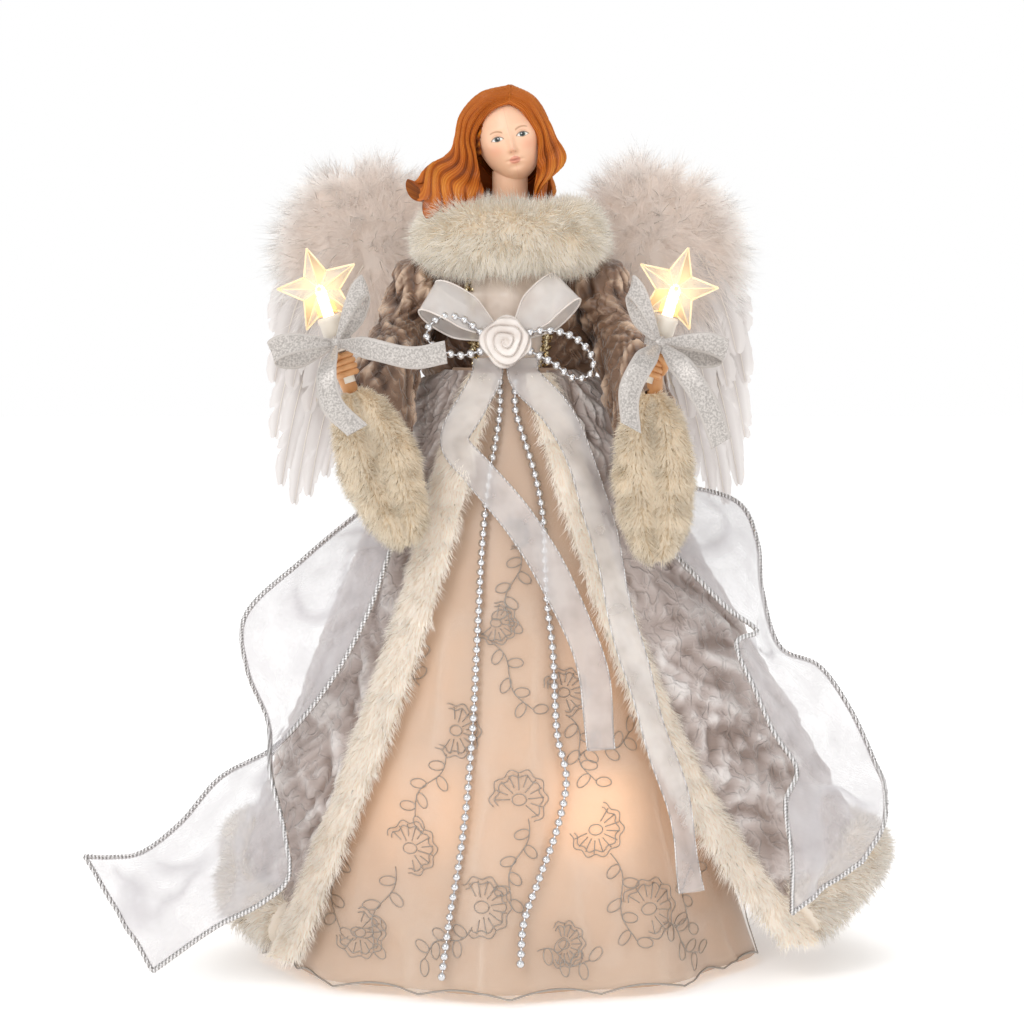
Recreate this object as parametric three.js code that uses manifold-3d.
// Lighted angel tree topper: a hollow cone that slips over a tree's leader, with a resin bust,
// layered gown and robe, fur trims, feather wings, wired arms that hold two star lamps,
// a ribbon bow with bead garlands, and two wired organza ribbons.
// Millimetres, +Z up. The angel faces -Y, "left" is the -X side, and the origin is the centre of
// the cone's mouth, in the plane that the cone stands on.
import * as THREE from "three";
import { mergeVertices } from "three/addons/utils/BufferGeometryUtils.js";
import Module from "manifold-3d";

const wasm = await Module();
wasm.setup();

// Clearances
const GAP = 0.4; // between pieces that touch
const CLOTH_GAP = 0.6; // between layers of cloth, which bend
const SWING_GAP = 1; // round a piece that turns

// Support cone, with its lamps and their wire
const CONE_BASE_R = 84;
const CONE_TOP_R = 22;
const CONE_HEIGHT = 258;
const CONE_WALL = 1.6;
const CONE_RIM_WIDTH = 9;
const CONE_RIM_HEIGHT = 3;
const CORD_NOTCH_R = 5;
const LAMP_HOLDER_R = 4;
const LAMP_FLANGE_R = 6;
const LAMP_FLANGE_THICK = 1.5;
const LAMP_HOLDER_OUT = 7;
const LAMP_BULB_R = 2.6;
const LAMP_BULB_LENGTH = 8;
const LAMP_PLACES = [
  // angle from the front in degrees, height
  [140, 100],
  [70, 75],
  [35, 140],
  [25, 75],
  [-25, 75],
  [-35, 140],
  [-70, 75],
  [-140, 100],
];
const WIRE_R = 1.1;
const WIRE_END_Z = 14;
const WIRE_END_ANGLE = 176;

// Gown and robe
const WAIST_RISE = 10; // from the cone's top to the waist
const WAIST_EASE = 0.2; // more room round the bodice at the waist
const GOWN_HEM_Z = 4;
const GOWN_LAMP_ROOM = 11; // from the lamps' reach to the gown, at the foot
const GOWN_THICK = 0.8;
const GOWN_FOLDS = 9;
const GOWN_FOLD_DEPTH = 3;
const GOWN_FOLD_PHASE = 0.6;
const OVERLAY_THICK = 0.6;
const OVERLAY_HEM_Z = 2.5;
const OVERLAY_HALF_ANGLE = 80;
const OVERLAY_BELOW_WAIST = 2;
const OVERLAY_FLARE = 5;
const OVERLAY_FLARE_DROP = 0.85; // share of the drop below which the overlay flares
const OVERLAY_FLARE_ANGLE = 60; // degrees each side, over the last of which the flare fades
const OVERLAY_FLARE_FADE = 25;
const ROBE_THICK = 1;
const ROBE_BELOW_WAIST = 1;
const ROBE_LIFT = 6.5; // how far the robe stands off the gown below the waist
const ROBE_LIFT_DROP = 0.14; // share of the drop over which it lifts
const ROBE_FLARE_LEFT = 0.085; // outward flare for each millimetre below the waist
const ROBE_FLARE_RIGHT = 0.27;
const ROBE_SIDE_ANGLES = [40, 95]; // degrees over which the flare and the folds set in
const ROBE_BACK_ANGLES = [100, 180]; // degrees over which the flare lessens
const ROBE_BACK_SHARE = 0.6; // how much of the flare is left at the back
const ROBE_FOLDS = 11;
const ROBE_FOLD_DEPTH = 5;
const ROBE_FOLD_PHASE = 1;
const ROBE_COLUMNS = 36;
const ROBE_RUN_STEP = 3; // degrees either side over which the run of its surface is taken
const ROBE_HEM_Z = 16;
const ROBE_HEM_RISE = 34;
const ROBE_OPEN_WAIST = 24; // half angle of the front opening, in degrees
const ROBE_OPEN_HEM_LEFT = 56;
const ROBE_OPEN_HEM_RIGHT = 66;
const TRIM_HALF_WIDTH = 12;
const TRIM_HALF_THICK = 5;
const TRIM_WAIST_SHARE = 0.45; // of its width that the trim has at the waist
const TRIM_FULL_DROP = 0.45; // share of the drop at which it has all of its width
const TRIM_WAIST_HALF_THICK = 0.7;
const TRIM_GAP = 1; // from the trim to the edge of the cloth, which slants
const TRIM_BELOW_WAIST = 2;
const TRIM_ABOVE_HEM = 3; // from the foot of the hem fur to the foot of the trim
const HEM_FUR_HALF_HEIGHT = 13;
const HEM_FUR_HALF_THICK = 8;

// Torso, bodice and bust
const TORSO_RINGS = [
  // height above the cone, half width, half depth
  [0, 23, 21.5],
  [12, 25, 23],
  [26, 28, 23.5],
  [42, 31, 23.5],
  [51, 29, 20],
  [55, 24, 17],
];
const SPIGOT_LENGTH = 12;
const BODICE_THICK = 1.2;
const BODICE_FRONT_ANGLE = 34;
const BODICE_BELOW_WAIST = 6;
const BODICE_BELOW_TOP = 1;
const PATCH_HALF_ANGLE = 42;
const PATCH_THICK = 2;
const PATCH_HALF_HEIGHT = 15;
const BUST_RINGS = [
  // height above the torso, half width, half depth, centre y
  [0, 25, 16.5, 0],
  [5, 23, 15.5, 0],
  [15, 14, 11.5, -1],
  [21, 9, 9, -2],
  [30, 8, 8, -4],
  [42, 8, 8, -6],
];
const HEAD_HALF_WIDTH = 15;
const HEAD_HALF_DEPTH = 17.5;
const HEAD_HALF_HEIGHT = 21.5;
const HEAD_ABOVE_TORSO = 57;
const HEAD_FORWARD = 9;
const HEAD_ROLL = 13; // degrees, the crown leans to the left
const HEAD_ROOM = 0.9; // round the head in the hair, whose inside is plain
const CHIN_SHARE = 0.16; // how much narrower the head is at the chin
const HAIR_DEPTH = 4;
const HAIR_CROWN_DEPTH = 2.8;
const HAIR_BACK = 2.5; // how far the cap sits behind the head
const FACE_OPENING = { half: [15.5, 17, 20.5], at: [0.5, -21.5, -6] }; // in the head's frame
const HAIR_FALL = { half: [21, 10, 22], at: [0, 15, -18] }; // from the head's centre
const HAIR_LOCKS = [
  // points from the head's centre, and the radius at the root and at the tip
  { at: [[-11, -8, 11], [-20, -8, -4], [-29, -5, -17], [-44, 1, -19]], from: 8, to: 3 },
  { at: [[-13, -9, 0], [-19, -10, -14], [-26, -6, -26], [-37, 1, -32]], from: 8, to: 3.5 },
  { at: [[12, -7, 10], [18, -8, -3], [20, -6, -15], [14, -7, -27]], from: 8, to: 4 },
];
const COLLAR_HALF_WIDTH = 30;
const COLLAR_HALF_DEPTH = 24;
const COLLAR_FUR_R = 13;
const COLLAR_FUR_HALF_HEIGHT = 17;
const COLLAR_ABOVE_TORSO = 13;
const COLLAR_FORWARD = 4;

// Arms
const SHOULDER_X = 38;
const SHOULDER_Y = 2;
const SHOULDER_BELOW_TORSO_TOP = 9;
const SHOULDER_R = 15;
const SLEEVE_WALL = 1.8;
const SLEEVE_CUT_PAST = 4; // how far its hollow is cut past the mouth
const SLEEVE_SECTIONS = [
  // centre from the shoulder with x outwards, half width, and the long half axis with its direction
  { at: [0, 0, 0], wide: 13, long: 13, along: [0, 1, 0] },
  { at: [10.5, -8, -21], wide: 13, long: 15, along: [0, 0.86, -0.51] },
  { at: [18, -38, -48], wide: 14, long: 23, along: [0, 0.35, -0.94] },
];
const ELBOW = [15, -30, -44];
const WRIST_BELOW_HAND = 27; // down the cuff
const WRIST_BEHIND_HAND = 9;
const CUFF_HALF_WIDTH = 18;
const CUFF_DEPTH = 13;
const CUFF_SEAT = 1; // ahead of the sleeve's mouth, whose edge leans a little
const CUFF_OVERHANG = 6; // how far the fur stands past the sleeve's mouth
const CUFF_END = 0.97; // the last rings, short of the pad's two tips
const CUFF_CREASE = 0.4; // share of the depth, and its spread across
const CUFF_CREASE_SPREAD = 0.4;
const ARM_WIRE_R = 1.5;
const FOREARM_R = 4.2;
const FOREARM_TAPER = 0.15;
const FIST_R = 6;
const FIST_HALF_HEIGHT = 5.5;
const FINGERS = 4;
const FINGER_GROOVE = 1.1;
const FIST_ROUNDING = 0.55; // how far the fist narrows towards its two ends
const STEM_R = 2.4;
const STEM_PAST_FIST = 3;
const HOLDER_R = 5;
const HOLDER_LENGTH = 16;
const HOLDER_ABOVE_HAND = 5.8;
const HOLDER_BORE_DEPTH = 7;
const BULB_R = 2.5;
const BULB_TIP_LENGTH = 4;
const BULB_PAST_STAR = 2; // from the star's centre up to the bulb's tip
const STAR_R = 18.5;
const STAR_NOTCH_R = 8.5;
const STAR_HALF_THICK = 7;
const STAR_ABOVE_HAND = 34.5;
const STAR_POINTS = 5;
const STAR_NECK_R = 4.5;
// What differs between the two arms: the hand and the cuff's top and bottom, from the shoulder,
// with x outwards, and the lean of the lamp, in degrees.
const ARMS = {
  left: { side: -1, hand: [33.4, -70, -34], cuffTop: [32, -68, -39], cuffEnd: [4, -66, -117], lean: 18 },
  right: { side: 1, hand: [23.5, -70, -34], cuffTop: [23, -68, -39], cuffEnd: [26, -66, -125], lean: 17 },
};

// Ribbons
const WRIST_RIBBON_WIDTH = 10;
const WRIST_RIBBON_THICK = 0.8;
const WRIST_BAND_WIDTH = 5;
const WRIST_TIE_UP = 4; // above the foot of the lamp holder
const WRIST_KNOT_HALF = [3, 2.4, 3.2];
const WRIST_KNOT_AHEAD = 1.6;
const WRIST_PINCH = 0.35; // share of its width that a ribbon has in the knot
const WRIST_PINCH_REACH = 0.3; // share of its length over which it widens
const WRIST_LOOPS = [[28, -5, 3], [-20, -5, 18]]; // the far end of each, from the knot with x outwards
const WRIST_LOOP_ALONG = 0.55; // share of the way out at which a loop is widest
const WRIST_LOOP_FRONT = [0, -4, 3];
const WRIST_LOOP_BACK = [0, 3, -2];
const WRIST_LOOP_END = [0.5, 0, 0];
const WRIST_LOOP_ACROSS = [0, -0.3, 0.95];
// Tails from the knot, with x outwards, and the direction of each one's width.
const WRIST_TAILS = {
  left: [
    { at: [[-14, -12, -7], [-30, -16, -16], [-44, -15, -18]], across: [0.2, -0.2, 1] },
    { at: [[7, -15, -10], [9, -18, -24], [2, -19, -38]], across: [1, -0.1, 0.2] },
  ],
  right: [
    { at: [[13, -12, -8], [27, -16, -20], [37, -15, -33]], across: [0.66, -0.1, 0.75] },
    { at: [[-5, -15, -10], [-7, -18, -24], [-2, -19, -38]], across: [1, -0.1, -0.2] },
  ],
};
const BOW_RIBBON_WIDTH = 18;
const BOW_TAIL_WIDTH = 14;
const BOW_RIBBON_THICK = 0.8;
const BOW_LOOPS = {
  // length, and degrees above the horizontal
  left: { side: -1, length: 34, angle: 30 },
  right: { side: 1, length: 31, angle: 44 },
};
const BOW_LOOP_DEPTH = 9;
const BOW_LOOP_PINCH = 0.45; // share of its width that a loop has at the knot
const BOW_LOOP_LIFT = 3;
const BOW_ABOVE_WAIST = 12;
const BOW_X = -2;
// Tails hang in front of the gown: x, percent of the drop from the waist, and distance off the overlay.
// The first points of each, below the knot, are worked out.
const BOW_TAILS = {
  left: [[-17, 6, 13], [-24, 12, 17], [-14, 17, 13], [4, 25, 9], [22, 36, 10], [36, 49, 11], [40, 62, 9]],
  right: [[20, 7, 15], [31, 15, 20], [40, 26, 20], [49, 41, 19], [61, 57, 19], [73, 71, 20], [79, 85, 17]],
};
const BOW_TAIL_START = [1, -4, -8]; // from the top of a tail to its next point, with x outwards
const KNOT_HALF_WIDTH = 4;
const KNOT_HALF_HEIGHT = 7;
const ROSETTE_R = 11;
const ROSETTE_DEPTH = 8;
const ROSETTE_TURNS = 3;
const ROSETTE_RIDGE = 0.9;
const ROSETTE_CORNER = 0.06; // how far its four corners stand out, as a share
const ROSETTE_RIM_SHARE = 0.3; // depth at the rim, under the petals and of the dome, as shares
const ROSETTE_FLOOR_SHARE = 0.55;
const ROSETTE_DOME_SHARE = 0.4;
const ORGANZA_THICK = 0.8;
const ORGANZA_EASE = 0.3; // more room over the robe's folds

// Beads
const BEAD_R = 1.9;
const BEAD_PITCH = 7;
const THREAD_R = 0.5;
const STRAND_EASE = 0.2; // more room over the gown's folds
// Each strand's route down the gown: x, and percent of the drop from the waist.
const STRANDS = {
  left: [
    [-4.5, 2.3], [-4.5, 6.8], [-6, 11.4], [-9, 17.4], [-11, 24.2], [-12.5, 31], [-13.5, 38.6], [-14.5, 46.2],
    [-15.5, 54.5], [-17, 62.9], [-19, 71.2], [-22, 79.5], [-26, 87.9], [-29.5, 97],
  ],
  right: [
    [2.5, 2.3], [2.5, 6.8], [6, 11.4], [11, 17.4], [14.5, 24.2], [15.5, 31], [16.5, 38.6], [19, 46.2],
    [20, 54.5], [21, 59.8], [25, 66.7], [21, 74.2], [13, 81.8], [6, 88.6], [4.5, 94.7],
  ],
};
// Each loop's route from the rosette and back, as x from the bow and height from the bow.
const BEAD_LOOPS = {
  left: [[-11.1, 4.2], [-19, 10], [-28, 11], [-34, 6], [-34.5, 1], [-28, -4], [-20, -6], [-11.1, -4.2]],
  right: [[11, 4.2], [19, 5], [28, 3], [35, -2], [39, -9], [37, -15], [30, -16], [22, -10], [11, -4.2]],
};

// Wings
const WING_Y = 46;
const WING_CORE_THICK = 1.6;
const WING_ROOT_X = 10;
const WING_ROOT_BELOW_TORSO_TOP = 21.4;
const WING_STEM_R = 1.5;
const WING_STEM = [[9, 3], [20, 8], [30, 12]]; // the stem's way into the core, outwards and up from the root
// The core's outline as outward distance and height from the root: its start, then a control point and
// an end for each curve.
const WING_START = [26, -8];
const WING_CURVES = [
  [[24, 30], [44, 52]],
  [[62, 66], [80, 54]],
  [[100, 38], [102, 0]],
  [[103, -30], [92, -46]],
  [[70, -30], [52, -16]],
  [[40, -8], [26, -8]],
];
const WING_CENTRE = [64, 6];
const WING_HALF = [38, 56];
const WING_ROOM = 2; // round the core in the down
// The long feathers from the inner to the outer edge, as outward distance and height from the root.
const FEATHERS = [
  { base: [46, -2], tip: [70, -56] },
  { base: [52, 0], tip: [77, -72] },
  { base: [59, 3], tip: [86, -76] },
  { base: [66, 7], tip: [94, -85] },
  { base: [72, 12], tip: [101, -89] },
  { base: [78, 18], tip: [107, -80] },
  { base: [83, 25], tip: [110, -58] },
  { base: [86, 33], tip: [110, -32] },
  { base: [88, 40], tip: [109, -8] },
];
const FEATHER_THICK = 0.8;
const FEATHER_STEP = 0.2; // between the two rows of vanes
const FEATHER_HALF_WIDTH = 8;
const QUILL_HALF_WIDTH = 1;
const QUILL_STRIP_HEIGHT = 6;
const DOWN_HALF = [42, 12, 47];
const DOWN_AT = [66, 25]; // outwards and up from the root
const DOWN_TURN = 12; // degrees

// Organza ribbons: the seam is an angle and a height on the robe for each edge, then x, y, z
const ORGANZA = {
  left: {
    seam: { inner: [-52, 214], outer: [-84, 208] },
    inner: [
      [-52, -52, 190], [-62, -63, 162], [-74, -66, 139], [-88, -60, 119], [-107, -36, 98], [-129, -38, 86],
      [-147, -44, 66], [-164, -50, 54], [-176, -54, 53], [-187, -58, 54],
    ],
    outer: [
      [-92, -30, 183], [-119, -26, 156], [-118, -22, 132], [-110, -14, 110], [-104, -72, 92], [-96, -100, 71],
      [-94, -110, 54], [-106, -104, 42], [-126, -94, 30], [-155, -82, 8],
    ],
  },
  right: {
    seam: { inner: [58, 208], outer: [88, 216] },
    inner: [
      [80, -52, 179], [96, -56, 163], [108, -56, 154], [98, -76, 150], [106, -82, 130], [114, -82, 112],
      [124, -80, 96], [118, -96, 84], [120, -104, 62], [121, -96, 36],
    ],
    outer: [
      [104, 0, 206], [112, -6, 189], [114, -10, 167], [122, -22, 142], [138, -26, 135], [152, -30, 116],
      [163, -36, 92], [165, -56, 84], [163, -70, 70], [153, -80, 56],
    ],
  },
};

const COLOURS = {
  cone: ["#e9e4da", 0.7, 0],
  lamp: ["#fff2cf", 0.3, 0],
  wire: ["#e4e0d2", 0.6, 0],
  torso: ["#d8d2c6", 0.8, 0],
  skin: ["#efc3a5", 0.45, 0],
  hair: ["#c4682c", 0.45, 0],
  fur: ["#efe6d2", 0.95, 0],
  robe: ["#8f8278", 0.5, 0],
  satin: ["#e6e1dc", 0.35, 0],
  gown: ["#f3dcc4", 0.6, 0],
  organza: ["#e9e7e6", 0.5, 0],
  feather: ["#f4f1ee", 0.85, 0],
  silver: ["#cfcfd2", 0.3, 0.7],
  bead: ["#d5d5d8", 0.15, 1],
  holder: ["#f7f3ea", 0.4, 0],
  star: ["#fff4d6", 0.05, 0],
};

const angel = new THREE.Group();
angel.name = "angel_tree_topper";

// Helpers: vectors, closed skins and solids

const vec = (x, y, z) => new THREE.Vector3(x, y, z);
const rad = THREE.MathUtils.degToRad;
const { lerp, clamp, radToDeg } = THREE.MathUtils;
const smooth = THREE.MathUtils.smoothstep;
const SIDES = [["left", -1], ["right", 1]];

// A geometry from points and triangles, turned so that its faces point out.
function skin(points, triangles) {
  let volume = 0;
  for (const [a, b, c] of triangles) {
    volume += points[a].dot(points[b].clone().cross(points[c]));
  }
  const index = triangles.flatMap(([a, b, c]) => (volume > 0 ? [a, b, c] : [a, c, b]));
  const position = points.flatMap((p) => [p.x, p.y, p.z]);
  const geometry = new THREE.BufferGeometry();
  geometry.setAttribute("position", new THREE.Float32BufferAttribute(position, 3));
  return geometry.setIndex(index);
}

const quad = (a, b, c, d) => [[a, b, c], [a, c, d]];

// Rings of equal count joined in a row and closed by a fan at each end.
function loft(rings) {
  const sides = rings[0].length;
  const points = rings.flat();
  const triangles = [];
  for (let i = 0; i + 1 < rings.length; i++) {
    for (let j = 0; j < sides; j++) {
      const k = (j + 1) % sides;
      triangles.push(...quad(i * sides + j, i * sides + k, (i + 1) * sides + k, (i + 1) * sides + j));
    }
  }
  for (const [first, back] of [[0, true], [(rings.length - 1) * sides, false]]) {
    const centre = points.length;
    const ring = points.slice(first, first + sides);
    points.push(ring.reduce((sum, p) => sum.add(p), vec(0, 0, 0)).divideScalar(sides));
    for (let j = 0; j < sides; j++) {
      const k = (j + 1) % sides;
      triangles.push(back ? [centre, first + k, first + j] : [centre, first + j, first + k]);
    }
  }
  return skin(points, triangles);
}

// Rings joined in a row whose last ring meets the first, as on a torus.
function ringLoft(rings) {
  const sides = rings[0].length;
  const points = rings.flat();
  const triangles = [];
  for (let i = 0; i < rings.length; i++) {
    const n = (i + 1) % rings.length;
    for (let j = 0; j < sides; j++) {
      const k = (j + 1) % sides;
      triangles.push(...quad(i * sides + j, i * sides + k, n * sides + k, n * sides + j));
    }
  }
  return skin(points, triangles);
}

// An ellipse of points round a centre, from its two half axes.
function ellipse(centre, across, along, sides) {
  return Array.from({ length: sides }, (_, j) => {
    const a = (2 * Math.PI * j) / sides;
    return centre.clone().addScaledVector(across, Math.cos(a)).addScaledVector(along, Math.sin(a));
  });
}

// A sheet of cloth: the surface at(u, v), for u and v from 0 to 1, given a thickness along its
// normals. Where loop is set, u = 1 joins u = 0.
function sheet(at, uSteps, vSteps, thick, loop = false) {
  const columns = loop ? uSteps : uSteps + 1;
  const grid = [];
  for (let i = 0; i < columns; i++) {
    grid.push(Array.from({ length: vSteps + 1 }, (_, j) => at(i / uSteps, j / vSteps)));
  }
  const pick = (i) => (loop ? (i + columns) % columns : clamp(i, 0, columns - 1));
  const points = [];
  for (const sign of [1, -1]) {
    for (let i = 0; i < columns; i++) {
      for (let j = 0; j <= vSteps; j++) {
        const du = grid[pick(i + 1)][j].clone().sub(grid[pick(i - 1)][j]);
        const dv = grid[i][Math.min(j + 1, vSteps)].clone().sub(grid[i][Math.max(j - 1, 0)]);
        const normal = du.cross(dv).normalize();
        points.push(grid[i][j].clone().addScaledVector(normal, (sign * thick) / 2));
      }
    }
  }
  const id = (i, j, layer) => layer * columns * (vSteps + 1) + pick(i) * (vSteps + 1) + j;
  const triangles = [];
  for (let i = 0; i < (loop ? columns : uSteps); i++) {
    for (let j = 0; j < vSteps; j++) {
      triangles.push(...quad(id(i, j, 0), id(i + 1, j, 0), id(i + 1, j + 1, 0), id(i, j + 1, 0)));
      triangles.push(...quad(id(i, j, 1), id(i, j + 1, 1), id(i + 1, j + 1, 1), id(i + 1, j, 1)));
    }
    triangles.push(...quad(id(i, 0, 1), id(i + 1, 0, 1), id(i + 1, 0, 0), id(i, 0, 0)));
    triangles.push(...quad(id(i, vSteps, 0), id(i + 1, vSteps, 0), id(i + 1, vSteps, 1), id(i, vSteps, 1)));
  }
  if (!loop) {
    for (let j = 0; j < vSteps; j++) {
      triangles.push(...quad(id(0, j, 0), id(0, j + 1, 0), id(0, j + 1, 1), id(0, j, 1)));
      triangles.push(...quad(id(uSteps, j, 1), id(uSteps, j + 1, 1), id(uSteps, j + 1, 0), id(uSteps, j, 0)));
    }
  }
  return skin(points, triangles);
}

// A round tube along a smooth curve, with radius(t) for t from 0 to 1.
function tube(curve, steps, sides, radius) {
  const frames = curve.computeFrenetFrames(steps, false);
  return loft(
    Array.from({ length: steps + 1 }, (_, i) => {
      const t = i / steps;
      const r = radius(t);
      const across = frames.normals[i].clone().multiplyScalar(r);
      const along = frames.binormals[i].clone().multiplyScalar(r);
      return ellipse(curve.getPointAt(t), across, along, sides);
    }),
  );
}

const curveThrough = (points) => new THREE.CatmullRomCurve3(points.map((p) => (p.isVector3 ? p : vec(...p))));

// A closed profile of [radius, height] points turned about +Z.
function turned(profile, segments) {
  const points = [...profile, profile[0]].map(([r, z]) => new THREE.Vector2(r, z));
  return new THREE.LatheGeometry(points, segments).rotateX(Math.PI / 2);
}

// A geometry as a solid for joins and cuts, and back.
function solid(geometry) {
  const bare = new THREE.BufferGeometry().setAttribute("position", geometry.getAttribute("position"));
  if (geometry.index) bare.setIndex(geometry.index);
  const merged = mergeVertices(bare, 1e-4);
  const mesh = new wasm.Mesh({
    numProp: 3,
    vertProperties: new Float32Array(merged.getAttribute("position").array),
    triVerts: new Uint32Array(merged.index.array),
  });
  const made = new wasm.Manifold(mesh);
  if (made.volume() > 0) return made;
  const triVerts = mesh.triVerts.slice().reverse();
  return new wasm.Manifold(new wasm.Mesh({ numProp: 3, vertProperties: mesh.vertProperties, triVerts }));
}

function geometryOf(made) {
  const mesh = made.getMesh();
  const geometry = new THREE.BufferGeometry();
  geometry.setAttribute("position", new THREE.BufferAttribute(mesh.vertProperties, 3));
  return geometry.setIndex(new THREE.BufferAttribute(mesh.triVerts, 1));
}

const cut = (geometry, ...tools) =>
  geometryOf(mainBody(tools.reduce((s, t) => s.subtract(solid(t)), solid(geometry))));
const join = (...geometries) => geometryOf(mainBody(geometries.map(solid).reduce((a, b) => a.add(b))));

// The largest body that a join or a cut leaves, without the crumbs at a feather edge.
function mainBody(made) {
  const bodies = made.decompose();
  return bodies.reduce((a, b) => (a.volume() >= b.volume() ? a : b));
}

function part(name, geometry, finish, parent = angel) {
  const [color, roughness, metalness] = COLOURS[finish];
  const mesh = new THREE.Mesh(geometry, new THREE.MeshStandardMaterial({ color, roughness, metalness }));
  mesh.name = name;
  parent.add(mesh);
  return mesh;
}

// An egg of three half sizes at a place, and a ball.
const egg = (half, at, columns, rows) =>
  new THREE.SphereGeometry(1, columns, rows).scale(...half).translate(...at);
const ball = (centre, r, detail = 12) =>
  new THREE.SphereGeometry(r, detail, Math.round(detail * 0.75)).translate(centre.x, centre.y, centre.z);

// Shared surfaces. Angles are in degrees from the front, positive to the right.

const polar = (r, angle, z) => vec(r * Math.sin(rad(angle)), -r * Math.cos(rad(angle)), z);
const waistZ = CONE_HEIGHT + WAIST_RISE;
const waistR = torsoHalf(waistZ)[0] + CLOTH_GAP + BODICE_THICK + GAP + GOWN_THICK / 2 + WAIST_EASE;
const gownHemR = CONE_BASE_R + LAMP_HOLDER_OUT + LAMP_BULB_LENGTH + GOWN_LAMP_ROOM;
const drop = (z) => (waistZ - z) / (waistZ - GOWN_HEM_Z);
const downFromWaist = (percent) => lerp(waistZ, GOWN_HEM_Z, percent / 100);
const coneRadius = (z) => lerp(CONE_BASE_R, CONE_TOP_R, z / CONE_HEIGHT);
const coneSlope = Math.atan2(CONE_BASE_R - CONE_TOP_R, CONE_HEIGHT);

// The gown's middle surface: a straight cone whose folds deepen towards the hem.
function gownRadius(angle, z) {
  const t = drop(z);
  const fold = GOWN_FOLD_DEPTH * t * t * Math.cos(GOWN_FOLDS * rad(angle) + GOWN_FOLD_PHASE);
  return lerp(waistR, gownHemR, t) + fold;
}

function overlayRadius(angle, z) {
  const ahead = smooth(OVERLAY_FLARE_ANGLE - Math.abs(angle), 0, OVERLAY_FLARE_FADE);
  const flare = OVERLAY_FLARE * smooth(drop(z), OVERLAY_FLARE_DROP, 1) * ahead;
  return gownRadius(angle, z) + (GOWN_THICK + OVERLAY_THICK) / 2 + GAP + flare;
}

// How far the robe stands off the gown: close at the waist, full below it.
const robeEase = (z) => smooth(drop(z), 0, ROBE_LIFT_DROP);

function robeRadius(angle, z) {
  const side = smooth(Math.abs(angle), ...ROBE_SIDE_ANGLES);
  const flare = lerp(ROBE_FLARE_LEFT, ROBE_FLARE_RIGHT, (1 + Math.sin(rad(angle))) / 2);
  const behind = lerp(1, ROBE_BACK_SHARE, smooth(Math.abs(angle), ...ROBE_BACK_ANGLES));
  const fold = ROBE_FOLD_DEPTH * drop(z) * Math.cos(ROBE_FOLDS * rad(angle) + ROBE_FOLD_PHASE);
  const near = (GOWN_THICK + ROBE_THICK) / 2 + OVERLAY_THICK + 2 * GAP + ROBE_LIFT * robeEase(z);
  return gownRadius(angle, z) + near + (flare * behind * (waistZ - z) + fold) * side;
}

const robePoint = (angle, z) => polar(robeRadius(angle, z), angle, z);

// How the robe's surface runs round to the right at a place, in millimetres for each degree.
function robeRun(angle, z) {
  const [from, to] = [angle - ROBE_RUN_STEP, angle + ROBE_RUN_STEP];
  return robePoint(to, z).sub(robePoint(from, z)).divideScalar(to - from);
}

// Half angle of the robe's front opening at a height, on one side.
function robeEdge(side, z) {
  const wide = side < 0 ? ROBE_OPEN_HEM_LEFT : ROBE_OPEN_HEM_RIGHT;
  return lerp(ROBE_OPEN_WAIST, wide, drop(z));
}

// Height of the middle of the hem fur, which rises towards the sides.
const hemHeight = (angle) => ROBE_HEM_Z + ROBE_HEM_RISE * Math.min(1, (1 - Math.cos(rad(angle))) ** 2);

const torsoTop = CONE_HEIGHT + GAP + TORSO_RINGS.at(-1)[0];

// Half width and depth of the torso at a height, between its rings.
function torsoHalf(z) {
  const up = z - CONE_HEIGHT - GAP;
  const above = TORSO_RINGS.findIndex(([h]) => h > up);
  const next = above < 0 ? TORSO_RINGS.length - 1 : Math.max(above, 1);
  const [low, high] = [TORSO_RINGS[next - 1], TORSO_RINGS[next]];
  const t = clamp((up - low[0]) / (high[0] - low[0]), 0, 1);
  return [1, 2].map((k) => lerp(low[k], high[k], t));
}

// A point on a shell that stands off the torso.
function onTorso(angle, z, off) {
  const [a, b] = torsoHalf(z);
  return vec((a + off) * Math.sin(rad(angle)), -(b + off) * Math.cos(rad(angle)), z);
}

// A shell that stands off the torso between two angles and two heights, with a row at each torso
// ring, so that it bends where the torso does.
function torsoShell([from, to], [low, high], off, thick, steps, loop = false) {
  const rings = TORSO_RINGS.map(([up]) => CONE_HEIGHT + GAP + up);
  const rows = [low, ...rings.filter((z) => z > low && z < high), high];
  const last = rows.length - 1;
  const at = (u, v) => onTorso(lerp(from, to, u), rows[Math.round(v * last)], off);
  return sheet(at, steps, last, thick, loop);
}

const shoulderZ = torsoTop - SHOULDER_BELOW_TORSO_TOP;
const shoulder = (side) => vec(side * SHOULDER_X, SHOULDER_Y, shoulderZ);
const shoulderRoom = [-1, 1].map((side) => ball(shoulder(side), SHOULDER_R + SWING_GAP, 10));

// Support cone, lamps and lamp wire

// The outward direction of the cone's wall.
const coneNormal = (angle) => polar(Math.cos(coneSlope), angle, Math.sin(coneSlope));
const lampBack = CONE_WALL + GAP + LAMP_FLANGE_R ** 2 / (2 * CONE_TOP_R) + LAMP_FLANGE_THICK;

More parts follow.
